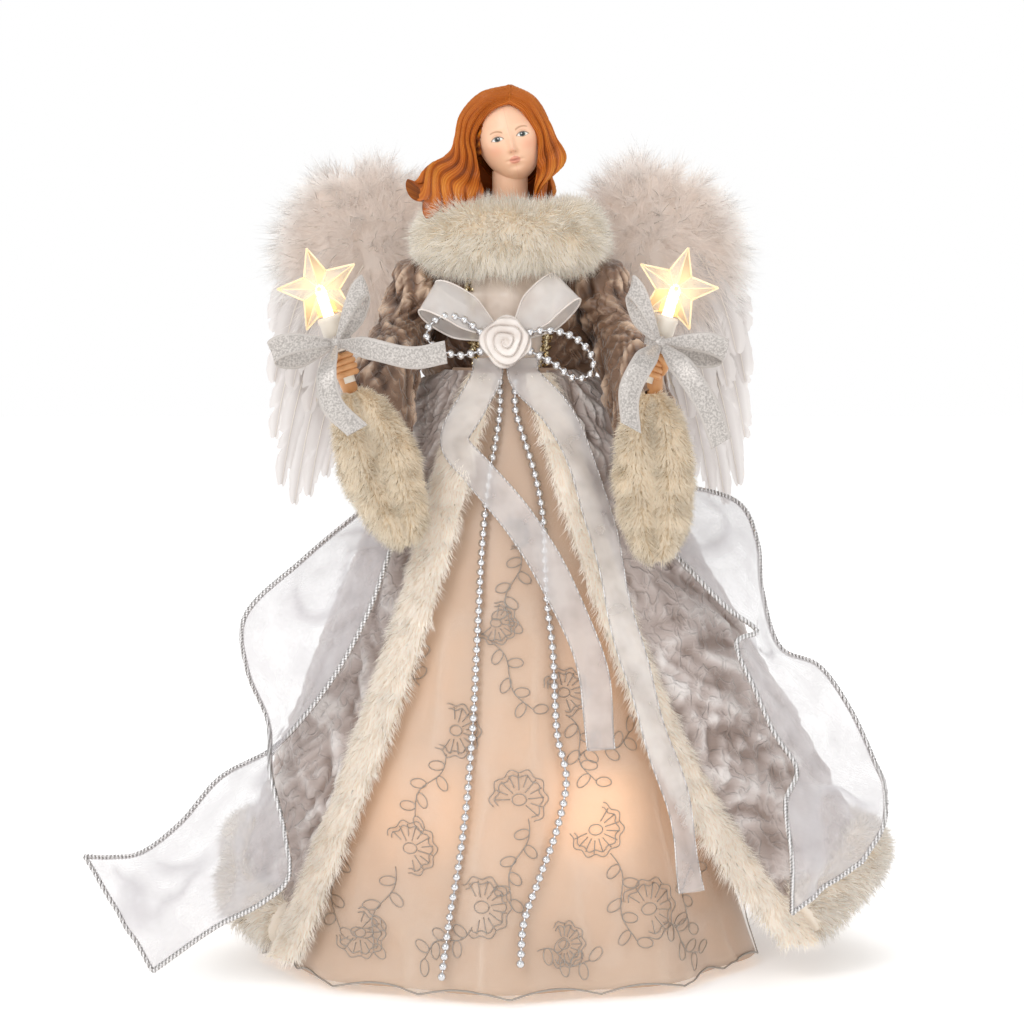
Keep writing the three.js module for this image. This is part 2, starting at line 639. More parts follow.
function addCone() {
  const rimInner = CONE_BASE_R - CONE_RIM_WIDTH;
  const shell = turned(
    [
      [CONE_BASE_R, 0],
      [CONE_TOP_R, CONE_HEIGHT],
      [CONE_TOP_R - CONE_WALL, CONE_HEIGHT],
      [coneRadius(CONE_RIM_HEIGHT) - CONE_WALL, CONE_RIM_HEIGHT],
      [rimInner, CONE_RIM_HEIGHT],
      [rimInner, 0],
    ],
    28,
  );
  const holes = LAMP_PLACES.map(([angle, z]) => {
    const hole = new THREE.CylinderGeometry(LAMP_HOLDER_R + GAP, LAMP_HOLDER_R + GAP, 8 * CONE_WALL, 8);
    hole.applyQuaternion(new THREE.Quaternion().setFromUnitVectors(vec(0, 1, 0), coneNormal(angle)));
    const at = polar(coneRadius(z), angle, z);
    return hole.translate(at.x, at.y, at.z);
  });
  const notch = new THREE.CylinderGeometry(CORD_NOTCH_R, CORD_NOTCH_R, 2 * CONE_RIM_WIDTH, 12);
  notch.translate(0, CONE_BASE_R, 0);
  part("cone_shell", cut(shell, ...holes, notch), "cone");
}

function addLamps() {
  const tip = LAMP_HOLDER_OUT + LAMP_BULB_LENGTH;
  const profile = [
    [0, -lampBack],
    [LAMP_FLANGE_R, -lampBack],
    [LAMP_FLANGE_R, LAMP_FLANGE_THICK - lampBack],
    [LAMP_HOLDER_R, LAMP_FLANGE_THICK - lampBack],
    [LAMP_HOLDER_R, LAMP_HOLDER_OUT],
    [LAMP_BULB_R, LAMP_HOLDER_OUT],
    [LAMP_BULB_R, tip - LAMP_BULB_R],
    [0, tip],
  ];
  LAMP_PLACES.forEach(([angle, z], i) => {
    const lamp = part(`lamp_${i + 1}`, turned(profile, 6), "lamp");
    lamp.position.copy(polar(coneRadius(z), angle, z));
    lamp.quaternion.setFromUnitVectors(vec(0, 0, 1), coneNormal(angle));
  });
}

// The series wire runs behind each lamp in turn, from the cord notch and back to it.
function addLampWire() {
  const inward = lampBack + GAP + WIRE_R;
  const stops = [[WIRE_END_ANGLE, WIRE_END_Z], ...LAMP_PLACES, [-WIRE_END_ANGLE, WIRE_END_Z]];
  const route = new THREE.CatmullRomCurve3(stops.map(([angle, z]) => vec(angle, z, 0)));
  const points = route.getPoints(7 * (stops.length - 1)).map(({ x: angle, y: z }) =>
    polar(coneRadius(z), angle, z).addScaledVector(coneNormal(angle), -inward),
  );
  part("lamp_wire", tube(curveThrough(points), 40, 4, () => WIRE_R), "wire");
}

// Torso, bodice, bust, hair and collar

function torsoSolid(grow = 0) {
  const ring = ([up, a, b]) =>
    ellipse(vec(0, 0, CONE_HEIGHT + GAP + up), vec(a + grow, 0, 0), vec(0, b + grow, 0), 18);
  const spigotR = CONE_TOP_R - CONE_WALL - GAP;
  const spigot = [[-SPIGOT_LENGTH, spigotR, spigotR], [-0.01, spigotR, spigotR]];
  return loft([...spigot, ...TORSO_RINGS].map(ring));
}

function addTorso() {
  part("torso_form", cut(torsoSolid(), ...shoulderRoom), "torso");
  const off = CLOTH_GAP + BODICE_THICK / 2;
  const heights = [waistZ - BODICE_BELOW_WAIST, torsoTop - BODICE_BELOW_TOP];
  const seam = BODICE_FRONT_ANGLE - GAP;
  part("bodice_front", torsoShell([-seam, seam], heights, off, BODICE_THICK, 6), "satin");
  const edge = BODICE_FRONT_ANGLE + GAP;
  const back = torsoShell([edge, 360 - edge], heights, off, BODICE_THICK, 18);
  part("robe_bodice", cut(back, ...shoulderRoom), "robe");
}

// The wing patch lies on the back of the bodice and holds the wings' wire stems.
const patchOff = CLOTH_GAP + BODICE_THICK + GAP + PATCH_THICK / 2;
const wingRootZ = torsoTop - WING_ROOT_BELOW_TORSO_TOP;

function addWingPatch() {
  const angles = [180 - PATCH_HALF_ANGLE, 180 + PATCH_HALF_ANGLE];
  const heights = [wingRootZ - PATCH_HALF_HEIGHT, wingRootZ + PATCH_HALF_HEIGHT];
  part("wing_patch", torsoShell(angles, heights, patchOff, PATCH_THICK, 6), "satin");
}

const headCentre = vec(0, -HEAD_FORWARD, torsoTop + HEAD_ABOVE_TORSO);
const headTurn = new THREE.Matrix4().makeRotationY(-rad(HEAD_ROLL)).setPosition(headCentre);

// A calm doll's face on an egg: brow, nose, lips and chin as soft swellings round the front.
function headSolid() {
  const features = [
    // across, up, spread across, spread up, height
    [0, -0.06, 0.13, 0.2, 2],
    [0, -0.16, 0.16, 0.09, 1.2],
    [0, -0.42, 0.3, 0.08, 0.8],
    [0, -0.78, 0.3, 0.16, 1],
    [0.36, 0.1, 0.17, 0.11, -1],
    [-0.36, 0.1, 0.17, 0.11, -1],
  ];
  const sides = 16;
  const rows = 13;
  const rings = [];
  for (let i = 1; i < rows; i++) {
    const up = -Math.cos((Math.PI * i) / rows);
    const girth = Math.sqrt(1 - up * up) * (up < 0 ? 1 + CHIN_SHARE * up : 1);
    rings.push(
      Array.from({ length: sides }, (_, j) => {
        const a = (2 * Math.PI * j) / sides;
        const across = girth * Math.sin(a);
        const ahead = girth * Math.cos(a);
        let out = 0;
        if (ahead > 0) {
          for (const [x, z, sx, sz, h] of features) {
            out += h * Math.exp(-(((across - x) / sx) ** 2) - ((up - z) / sz) ** 2);
          }
        }
        return vec(
          across * HEAD_HALF_WIDTH,
          -ahead * (HEAD_HALF_DEPTH + out),
          up * HEAD_HALF_HEIGHT,
        );
      }),
    );
  }
  return loft(rings).applyMatrix4(headTurn);
}

// The room that the head needs in the hair and the collar, on a plain egg without the face.
const headRoom = () =>
  egg([HEAD_HALF_WIDTH, HEAD_HALF_DEPTH, HEAD_HALF_HEIGHT].map((half) => half + HEAD_ROOM), [0, 0, 0], 14, 9)
    .applyMatrix4(headTurn);

function shoulderPlate(grow = 0) {
  const base = torsoTop + GAP;
  const rings = BUST_RINGS.map(([up, a, b, y]) =>
    ellipse(vec(0, y, base + up), vec(a + grow, 0, 0), vec(0, b + grow, 0), 14),
  );
  return loft(rings);
}

// Moulded hair: a cap with an open face, a fall behind the neck and swept locks.
function hairSolid(grow = 0) {
  const reach = HAIR_DEPTH + grow;
  const half = [HEAD_HALF_WIDTH + reach, HEAD_HALF_DEPTH + reach, HEAD_HALF_HEIGHT + HAIR_CROWN_DEPTH + grow];
  const cap = egg(half, [0, HAIR_BACK, 0], 12, 9).applyMatrix4(headTurn);
  const face = egg(FACE_OPENING.half, FACE_OPENING.at, 10, 8).applyMatrix4(headTurn);
  const fallAt = vec(...HAIR_FALL.at).add(headCentre).toArray();
  const fall = egg(HAIR_FALL.half.map((size) => size + grow), fallAt, 10, 6);
  const locks = HAIR_LOCKS.map(({ at, from, to }) => {
    const curve = curveThrough(at.map((p) => vec(...p).add(headCentre)));
    return tube(curve, 4, 6, (t) => grow + lerp(from, to, t));
  });
  return join(cut(cap, face), fall, ...locks);
}

function addHead() {
  part("bust_head", join(shoulderPlate(), headSolid()), "skin");
  part("hair", cut(hairSolid(), headRoom(), shoulderPlate(GAP)), "hair");
}

function addCollar() {
  const centre = vec(0, -COLLAR_FORWARD, torsoTop + COLLAR_ABOVE_TORSO);
  const count = 20;
  const rings = Array.from({ length: count }, (_, i) => {
    const a = (2 * Math.PI * i) / count;
    const out = vec(Math.sin(a), -Math.cos(a), 0);
    const middle = centre.clone().add(vec(COLLAR_HALF_WIDTH * out.x, COLLAR_HALF_DEPTH * out.y, 0));
    return ellipse(middle, out.multiplyScalar(COLLAR_FUR_R), vec(0, 0, COLLAR_FUR_HALF_HEIGHT), 8);
  });
  const off = CLOTH_GAP + BODICE_THICK / 2;
  const bodiceRoom = torsoShell([0, 360], [waistZ, torsoTop], off, BODICE_THICK + 2 * GAP, 18, true);
  const fur = cut(
    ringLoft(rings),
    shoulderPlate(GAP),
    hairSolid(GAP),
    headRoom(),
    bodiceRoom,
    torsoSolid(GAP),
    ...shoulderRoom,
  );
  part("fur_collar", fur, "fur");
}

// Gown, robe and their fur

function addGown() {
  const lining = (u, v) => {
    const z = lerp(waistZ, GOWN_HEM_Z, v);
    return polar(gownRadius(360 * u, z), 360 * u, z);
  };
  part("gown_lining", sheet(lining, 45, 3, GOWN_THICK, true), "gown");
  const overlay = (u, v) => {
    const angle = OVERLAY_HALF_ANGLE * (2 * u - 1);
    const z = lerp(waistZ - OVERLAY_BELOW_WAIST, OVERLAY_HEM_Z, v);
    return polar(overlayRadius(angle, z), angle, z);
  };
  part("gown_overlay", sheet(overlay, 20, 6, OVERLAY_THICK), "organza");
}

// The front fur is narrow and thin at the waist.
const trimHalfWidth = (z) => TRIM_HALF_WIDTH * lerp(TRIM_WAIST_SHARE, 1, smooth(drop(z), 0, TRIM_FULL_DROP));
const trimHalfThick = (z) => lerp(TRIM_WAIST_HALF_THICK, TRIM_HALF_THICK, robeEase(z));

// The trim lies along the robe's surface, from the edge of the opening.
const trimRun = (side, z) => robeRun(side * (robeEdge(side, z) + ROBE_RUN_STEP), z);

// The angle at which the robe's cloth starts on one side, clear of the trim on its edge.
function clothEdge(side, z) {
  const edge = robeEdge(side, z);
  return edge + (trimHalfWidth(z) + TRIM_GAP) / trimRun(side, z).length();
}

// The robe's cloth runs round the back, from one trim to the other: u goes round, v goes down.
function robeAngle(u, z) {
  const angle = lerp(clothEdge(1, z), 360 - clothEdge(-1, z), u);
  return angle > 180 ? angle - 360 : angle;
}

function addRobe() {
  const top = waistZ - ROBE_BELOW_WAIST;
  const cloth = (u, v) => {
    const hem = hemHeight(robeAngle(u, ROBE_HEM_Z)) + HEM_FUR_HALF_HEIGHT + GAP;
    const z = lerp(top, hem, v);
    return robePoint(robeAngle(u, z), z);
  };
  part("robe_skirt", sheet(cloth, ROBE_COLUMNS, 5, ROBE_THICK), "robe");
  for (const [name, side] of SIDES) part(`front_fur_${name}`, frontFur(side), "fur");
  part("hem_fur", hemFur(), "fur");
}

function frontFur(side) {
  const rows = 12;
  const bottom = hemHeight(robeEdge(side, ROBE_HEM_Z)) - HEM_FUR_HALF_HEIGHT + TRIM_ABOVE_HEM;
  const rings = Array.from({ length: rows + 1 }, (_, i) => {
    const z = lerp(waistZ - TRIM_BELOW_WAIST, bottom, i / rows);
    const round = trimRun(side, z).normalize();
    const out = vec(round.y, -round.x, 0).multiplyScalar(trimHalfThick(z));
    return ellipse(robePoint(side * robeEdge(side, z), z), round.multiplyScalar(trimHalfWidth(z)), out, 8);
  });
  return loft(rings);
}

// The hem fur follows the cloth's columns, so that it meets the cloth all the way round.
function hemFur() {
  const rings = Array.from({ length: ROBE_COLUMNS + 1 }, (_, i) => {
    const angleAt = (z) => robeAngle(i / ROBE_COLUMNS, z);
    const z = hemHeight(angleAt(ROBE_HEM_Z));
    const above = z + HEM_FUR_HALF_HEIGHT;
    const middle = robePoint(angleAt(z), z);
    const up = robePoint(angleAt(above), above).sub(middle);
    const out = robeRun(angleAt(z), z).cross(up).normalize().multiplyScalar(HEM_FUR_HALF_THICK);
    return ellipse(middle, out, up, 6);
  });
  return loft(rings);
}

// Arms: a wire in a bell sleeve, a fur cuff, and a hand that holds a star lamp

function addArm(name, { side, hand, cuffTop, cuffEnd, lean }) {
  const arm = new THREE.Group();
  arm.position.copy(shoulder(side));
  angel.add(arm);
  const outward = ([x, y, z]) => vec(side * x, y, z);
  const handAt = outward(hand);
  const lamp = new THREE.Group();
  lamp.position.copy(handAt);
  lamp.rotation.y = side * rad(lean);
  lamp.updateMatrix();
  arm.add(lamp);

  const top = outward(cuffTop);
  const end = outward(cuffEnd);
  const middle = top.clone().add(end).multiplyScalar(0.5);
  const fall = end.clone().sub(top).multiplyScalar(0.5);
  const fallDirection = fall.clone().normalize();
  const mouthHalf = fall.length() - CUFF_OVERHANG;
  const mouthWide = CUFF_HALF_WIDTH - CUFF_OVERHANG;
  const acrossMouth = vec(0, -1, 0).cross(fallDirection).normalize().multiplyScalar(side);

  // Bell sleeve, from the shoulder ball to the mouth
  const sections = (shrink) => [
    ...SLEEVE_SECTIONS.map(({ at, wide, long, along }) => [
      outward(at),
      vec(side * (wide - shrink), 0, 0),
      vec(...along).multiplyScalar(long - shrink),
    ]),
    [
      middle,
      acrossMouth.clone().multiplyScalar(mouthWide - shrink),
      fallDirection.clone().multiplyScalar(mouthHalf - shrink),
    ],
  ];
  const bell = loft(sections(0).map(([c, a, b]) => ellipse(c, a, b, 12)));
  const inside = sections(SLEEVE_WALL).slice(1);
  const [mouth, ...mouthHalves] = inside.at(-1);
  inside.push([mouth.clone().add(vec(0, -SLEEVE_CUT_PAST, 0)), ...mouthHalves]);
  const hollow = loft(inside.map(([c, a, b]) => ellipse(c, a, b, 12)));

  const wrist = handAt.clone().addScaledVector(fallDirection, WRIST_BELOW_HAND);
  wrist.y += WRIST_BEHIND_HAND;
  const elbow = outward(ELBOW);
  const wireCurve = curveThrough([vec(0, 0, 0), elbow.clone().multiplyScalar(0.5), elbow, wrist]);
  const forearmCurve = new THREE.LineCurve3(wrist, handAt);
  const wireTube = (grow) => tube(wireCurve, 7, 5, () => ARM_WIRE_R + grow);
  const forearmTube = (grow) => tube(forearmCurve, 1, 8, (t) => FOREARM_R * (1 - FOREARM_TAPER * t) + grow);
  const sleeve = join(ball(vec(0, 0, 0), SHOULDER_R, 10), bell);
  const knuckles = fist(0).applyMatrix4(lamp.matrix);
  const room = fist(GAP).applyMatrix4(lamp.matrix);
  const stemHole = stemRoom().applyMatrix4(lamp.matrix);
  part(`sleeve_${name}`, cut(sleeve, hollow, wireTube(GAP), forearmTube(GAP), room), "robe", arm);
  part(`arm_wire_${name}`, cut(wireTube(0), forearmTube(GAP)), "wire", arm);
  part(`hand_${name}`, cut(join(knuckles, forearmTube(0)), stemHole), "skin", arm);

  const cuff = cuffPad(middle, acrossMouth, fall);
  part(`cuff_${name}`, cut(cuff, forearmTube(GAP), room, stemHole), "fur", arm);

  addStarLamp(name, lamp);
  part(`wrist_bow_${name}`, wristBow(name, side), "silver", lamp);
}

// A long pad of fur over the sleeve's mouth, flat behind and with a crease down its front.
function cuffPad(middle, acrossMouth, fall) {
  const rows = 10;
  const sides = 12;
  const rings = Array.from({ length: rows + 1 }, (_, i) => {
    const u = CUFF_END * Math.sin(Math.PI * (i / rows - 0.5));
    const girth = Math.sqrt(1 - u * u);
    return Array.from({ length: sides }, (_, j) => {
      const a = (2 * Math.PI * j) / sides;
      const crease = 1 - CUFF_CREASE * Math.exp(-((Math.cos(a) / CUFF_CREASE_SPREAD) ** 2));
      const ahead = Math.max(0, Math.sin(a)) * crease * CUFF_DEPTH * Math.sqrt(girth) + CUFF_SEAT;
      return middle
        .clone()
        .addScaledVector(fall, u)
        .addScaledVector(acrossMouth, CUFF_HALF_WIDTH * girth * Math.cos(a))
        .add(vec(0, -ahead, 0));
    });
  });
  return loft(rings);
}

// A fist round the lamp's stem: fingers as scallops of a turned profile.
function fist(grow) {
  const profile = [[0, -FIST_HALF_HEIGHT - grow]];
  const steps = 2 * FINGERS;
  for (let i = 0; i <= steps; i++) {
    const t = i / steps;
    const scallop = Math.abs(Math.sin(Math.PI * FINGERS * t));
    const up = 2 * t - 1;
    const ends = Math.sqrt(1 - FIST_ROUNDING * up * up);
    const wide = (FIST_R + FINGER_GROOVE * (scallop - 1)) * ends;
    profile.push([wide + grow, up * (FIST_HALF_HEIGHT + grow)]);
  }
  profile.push([0, FIST_HALF_HEIGHT + grow]);
  return turned(profile, 8);
}

// The holder stands on the fist, and its stem goes down through it.
const holderFoot = HOLDER_ABOVE_HAND + GAP;
const stemLength = 2 * FIST_HALF_HEIGHT + STEM_PAST_FIST;

function stemRoom() {
  const room = new THREE.CylinderGeometry(STEM_R + GAP, STEM_R + GAP, stemLength + 2 * GAP, 8);
  return room.rotateX(Math.PI / 2).translate(0, 0, holderFoot - stemLength / 2);
}

// The lamp stands on the hand along the group's +Z: holder, bulb and star cover.
function addStarLamp(name, lamp) {
  const top = holderFoot + HOLDER_LENGTH;
  const bore = BULB_R + GAP;
  const holder = turned(
    [
      [0, holderFoot - stemLength],
      [STEM_R, holderFoot - stemLength],
      [STEM_R, holderFoot],
      [HOLDER_R, holderFoot],
      [HOLDER_R, top],
      [bore, top],
      [bore, top - HOLDER_BORE_DEPTH],
      [0, top - HOLDER_BORE_DEPTH],
    ],
    10,
  );
  part(`lamp_holder_${name}`, holder, "holder", lamp);
  const tip = STAR_ABOVE_HAND + BULB_PAST_STAR;
  const bulb = turned(
    [
      [0, top - HOLDER_BORE_DEPTH + GAP],
      [BULB_R, top - HOLDER_BORE_DEPTH + GAP],
      [BULB_R, tip - BULB_TIP_LENGTH],
      [BULB_R * 0.7, tip - BULB_TIP_LENGTH * 0.3],
      [0, tip],
    ],
    8,
  );
  part(`bulb_${name}`, bulb, "lamp", lamp);
  part(`star_${name}`, starCover(top + GAP, tip), "star", lamp);
}

// A five-pointed star with a raised middle on both faces, a neck below and a bore for the bulb.
// Its lowest two points stand either side of the neck.
function starCover(neckBottom, bulbTip) {
  const rim = [];
  for (let i = 0; i < 2 * STAR_POINTS; i++) {
    const a = (Math.PI * i) / STAR_POINTS;
    const r = i % 2 ? STAR_NOTCH_R : STAR_R;
    rim.push(vec(r * Math.sin(a), 0, STAR_ABOVE_HAND + r * Math.cos(a)));
  }
  const points = [...rim];
  const triangles = [];
  for (const face of [-1, 1]) {
    const centre = points.length;
    points.push(vec(0, face * STAR_HALF_THICK, STAR_ABOVE_HAND));
    rim.forEach((_, i) => {
      const k = (i + 1) % rim.length;
      triangles.push(face < 0 ? [centre, k, i] : [centre, i, k]);
    });
  }
  const neck = new THREE.CylinderGeometry(STAR_NECK_R, STAR_NECK_R, STAR_ABOVE_HAND - neckBottom, 12);
  neck.rotateX(Math.PI / 2).translate(0, 0, (STAR_ABOVE_HAND + neckBottom) / 2);
  const boreR = BULB_R + GAP;
  const depth = bulbTip + 2 * GAP - neckBottom;
  const bore = new THREE.CylinderGeometry(boreR, boreR, depth, 10);
  bore.rotateX(Math.PI / 2).translate(0, 0, bulbTip + GAP - depth / 2);
  return cut(join(skin(points, triangles), neck), bore);
}

// A flat ribbon along a curve, with its width and the direction of its width for u from 0 to 1.
function ribbon(curve, across, width, thick, steps) {
  const at = (u, v) => curve.getPoint(u).addScaledVector(across(u), width(u) * (v - 0.5));
  return sheet(at, steps, 1, thick);
}

// The tie round the lamp holder, with a knot, two loops and two tails in front.
function wristBow(name, side) {
  const outward = ([x, y, z]) => vec(side * x, y, z);
  const tieR = HOLDER_R + GAP + WRIST_RIBBON_THICK / 2;
  const tieZ = holderFoot + WRIST_TIE_UP;
  const around = (u, v) => polar(tieR, 360 * u, tieZ + (v - 0.5) * WRIST_BAND_WIDTH);
  const band = sheet(around, 8, 1, WRIST_RIBBON_THICK, true);
  const knotAt = vec(0, -tieR - WRIST_KNOT_AHEAD, tieZ);
  const knot = egg(WRIST_KNOT_HALF, knotAt.toArray(), 6, 4);
  // Ribbons are pinched in the knot: loops at both ends, tails at the start.
  const strip = (points, across, steps, fromKnot) => {
    const curve = curveThrough(points.map((p) => p.add(knotAt)));
    const wide = vec(...across).normalize();
    const width = (u) => WRIST_RIBBON_WIDTH * lerp(WRIST_PINCH, 1, smooth(fromKnot(u), 0, WRIST_PINCH_REACH));
    return ribbon(curve, () => wide, width, WRIST_RIBBON_THICK, steps);
  };
  const loops = WRIST_LOOPS.map((to) => {
    const out = outward(to);
    const front = out.clone().multiplyScalar(WRIST_LOOP_ALONG).add(vec(...WRIST_LOOP_FRONT));
    const back = out.clone().multiplyScalar(WRIST_LOOP_ALONG).add(vec(...WRIST_LOOP_BACK));
    const end = vec(...WRIST_LOOP_END).multiply(vec(Math.sign(out.x), 1, 1));
    return strip([vec(0, 0, 0), front, out, back, end], WRIST_LOOP_ACROSS, 8, (u) => Math.min(u, 1 - u));
  });
  const tails = WRIST_TAILS[name].map(({ at, across }) =>
    strip([vec(0, 0, 0), ...at.map(outward)], across, 5, (u) => u),
  );
  return join(band, knot, ...loops, ...tails);
}

// Waist bow, rosette and bead garlands

const bowZ = waistZ + BOW_ABOVE_WAIST;
const bodiceFront = torsoHalf(bowZ)[1] + CLOTH_GAP + BODICE_THICK;
const loopBack = -bodiceFront - GAP - BOW_RIBBON_THICK / 2;
const loopFront = loopBack - BOW_LOOP_DEPTH;
const loopMiddle = (loopBack + loopFront) / 2;
const rosetteBack = loopFront - BOW_RIBBON_THICK / 2 - GAP;

// A flattened ring of ribbon that runs out from the knot at an angle above the horizontal.
function bowLoop({ side, length, angle }) {
  const out = vec(side * Math.cos(rad(angle)), 0, Math.sin(rad(angle)));
  const wide = vec(-side * Math.sin(rad(angle)), 0, Math.cos(rad(angle)));
  const startX = BOW_X + side * (KNOT_HALF_WIDTH + GAP + BOW_RIBBON_THICK);
  const start = vec(startX, loopMiddle, bowZ + BOW_LOOP_LIFT);
  const at = (u, v) => {
    const a = 2 * Math.PI * u;
    const reach = (1 - Math.cos(a)) / 2;
    const swell = lerp(BOW_LOOP_PINCH, 1, smooth(reach, 0, 0.5));
    return start
      .clone()
      .addScaledVector(out, reach * length)
      .addScaledVector(wide, (v - 0.5) * BOW_RIBBON_WIDTH * swell)
      .add(vec(0, (BOW_LOOP_DEPTH / 2) * Math.sin(a), 0));
  };
  return sheet(at, 16, 2, BOW_RIBBON_THICK, true);
}

// The point in front of the gown at a sideways place and a height, with a distance off the overlay.
function inFront(x, z, off) {
  const away = OVERLAY_THICK / 2 + off;
  const angle = radToDeg(Math.asin(clamp(x / (overlayRadius(0, z) + away), -1, 1)));
  return polar(overlayRadius(angle, z) + away, angle, z);
}

// The knot fills the space between the bodice and the rosette, with the loops on either side.
function knot() {
  const ring = (y, swell) => {
    const wide = vec(KNOT_HALF_WIDTH * swell, 0, 0);
    return ellipse(vec(BOW_X, y, bowZ), wide, vec(0, 0, KNOT_HALF_HEIGHT * swell), 10);
  };
  const [back, front] = [-bodiceFront - GAP, rosetteBack + GAP];
  return loft([ring(back, 0.8), ring((back + front) / 2, 1), ring(front, 0.8)]);
}

function addWaistBow() {
  part("bow_knot", knot(), "satin");
  for (const [name, side] of SIDES) {
    part(`bow_loop_${name}`, bowLoop(BOW_LOOPS[name]), "satin");
    const apart = BOW_X + side * (BOW_TAIL_WIDTH / 2 + GAP);
    const top = vec(apart, loopMiddle, bowZ - KNOT_HALF_HEIGHT - GAP);
    const next = top.clone().add(vec(...BOW_TAIL_START).multiply(vec(side, 1, 1)));
    const rest = BOW_TAILS[name].map(([x, percent, off]) => inFront(x, downFromWaist(percent), off));
    const curve = curveThrough([top, next, ...rest]);
    const across = (u) => {
      const at = curve.getPoint(u);
      const out = vec(at.x, at.y, 0).normalize();
      return curve.getTangent(u).cross(out).normalize().multiplyScalar(side);
    };
    part(`bow_tail_${name}`, ribbon(curve, across, () => BOW_TAIL_WIDTH, BOW_RIBBON_THICK, 16), "satin");
  }
  part("rosette", rosette(), "satin");
}

// A rolled ribbon rose: a dome whose ridge winds outwards in a spiral.
function rosette() {
  const centre = vec(BOW_X, rosetteBack, bowZ);
  const sides = 16;
  const rows = 7;
  const rings = [];
  for (let i = rows; i >= 1; i--) {
    const r = i / rows;
    rings.push(
      Array.from({ length: sides }, (_, j) => {
        const a = (2 * Math.PI * j) / sides;
        const wide = ROSETTE_R * r * (1 + ROSETTE_CORNER * Math.cos(4 * a + 0.5));
        const ridge = ROSETTE_RIDGE * Math.cos(2 * Math.PI * ROSETTE_TURNS * r - a);
        const dome = ROSETTE_FLOOR_SHARE + ROSETTE_DOME_SHARE * Math.cos((r * Math.PI) / 2);
        const depth = i === rows ? ROSETTE_DEPTH * ROSETTE_RIM_SHARE : ROSETTE_DEPTH * dome + ridge;
        return centre.clone().add(vec(wide * Math.cos(a), -depth, wide * Math.sin(a)));
      }),
    );
  }
  const rim = rings[0].map((p) => vec(p.x, rosetteBack, p.z));
  return loft([rim, ...rings]);
}

// A string of round beads along a curve: three rings to a bead, joined by the thread.
function beadString(curve) {
  const beads = Math.max(2, Math.round(curve.getLength() / BEAD_PITCH));
  const half = BEAD_R / curve.getLength();
  const stations = [];
  for (let i = 0; i < beads; i++) {
    const t = half + ((1 - 2 * half) * i) / (beads - 1);
    stations.push([t - half, THREAD_R], [t, BEAD_R], [t + half, THREAD_R]);
  }
  const up = vec(0.3, 1, 0.2).normalize();
  return loft(
    stations.map(([t, r]) => {
      const tangent = curve.getTangentAt(clamp(t, 0, 1));
      const across = tangent.clone().cross(up).normalize();
      const along = tangent.clone().cross(across).normalize();
      const at = curve.getPointAt(clamp(t, 0, 1));
      return ellipse(at, across.multiplyScalar(r), along.multiplyScalar(r), 4);
    }),
  );
}

const strandOff = BEAD_R + CLOTH_GAP + STRAND_EASE;

function addBeads() {
  const loopY = rosetteBack - BEAD_R - GAP;
  for (const [name] of SIDES) {
    const loop = BEAD_LOOPS[name].map(([x, z]) => vec(BOW_X + x, loopY, bowZ + z));
    part(`bead_loop_${name}`, beadString(curveThrough(loop)), "bead");
    const strand = STRANDS[name].map(([x, percent]) => inFront(x, downFromWaist(percent), strandOff));
    part(`bead_strand_${name}`, beadString(curveThrough(strand)), "bead");
  }
}

// Wings: a stiff core on a wire stem, long feathers on a quill strip, and a pad of down

// The core's outline, grown about its middle for the room that it needs in the down.
function wingOutline(grow = 0) {
  const at = ([x, up]) => [
    WING_CENTRE[0] + (x - WING_CENTRE[0]) * (1 + grow / WING_HALF[0]),
    wingRootZ + WING_CENTRE[1] + (up - WING_CENTRE[1]) * (1 + grow / WING_HALF[1]),
  ];
  const shape = new THREE.Shape();
  shape.moveTo(...at(WING_START));
  for (const [control, end] of WING_CURVES) shape.quadraticCurveTo(...at(control), ...at(end));
  return shape;
}

// A flat plate in the XZ plane, from front to back in y, mirrored for the left side.
function plate(shape, front, thick, side, segments = 4) {
  const settings = { depth: thick, bevelEnabled: false, curveSegments: segments };
  const slab = new THREE.ExtrudeGeometry(shape, settings);
  slab.rotateX(Math.PI / 2).translate(0, front + thick, 0);
  return slab.scale(side, 1, 1);
}

function featherShape(length, w) {
  const shape = new THREE.Shape();
  shape.moveTo(-QUILL_HALF_WIDTH, 0);
  shape.quadraticCurveTo(-w, length * 0.3, -w, length * 0.6);
  shape.quadraticCurveTo(-w * 0.8, length * 0.95, 0, length);
  shape.quadraticCurveTo(w * 0.8, length * 0.95, w, length * 0.6);
  shape.quadraticCurveTo(w, length * 0.3, QUILL_HALF_WIDTH, 0);
  return shape;
}

// One long feather, from front to back in y. The room round it grows on every side.
function feather({ base, tip }, side, front, thick, grow = 0) {
  const [dx, dz] = [tip[0] - base[0], tip[1] - base[1]];
  const outline = featherShape(Math.hypot(dx, dz) + grow, FEATHER_HALF_WIDTH + grow);
  const vane = plate(outline, 0, thick, 1, 2).rotateY(Math.atan2(dx, dz));
  return vane.translate(base[0], front, wingRootZ + base[1]).scale(side, 1, 1);
}

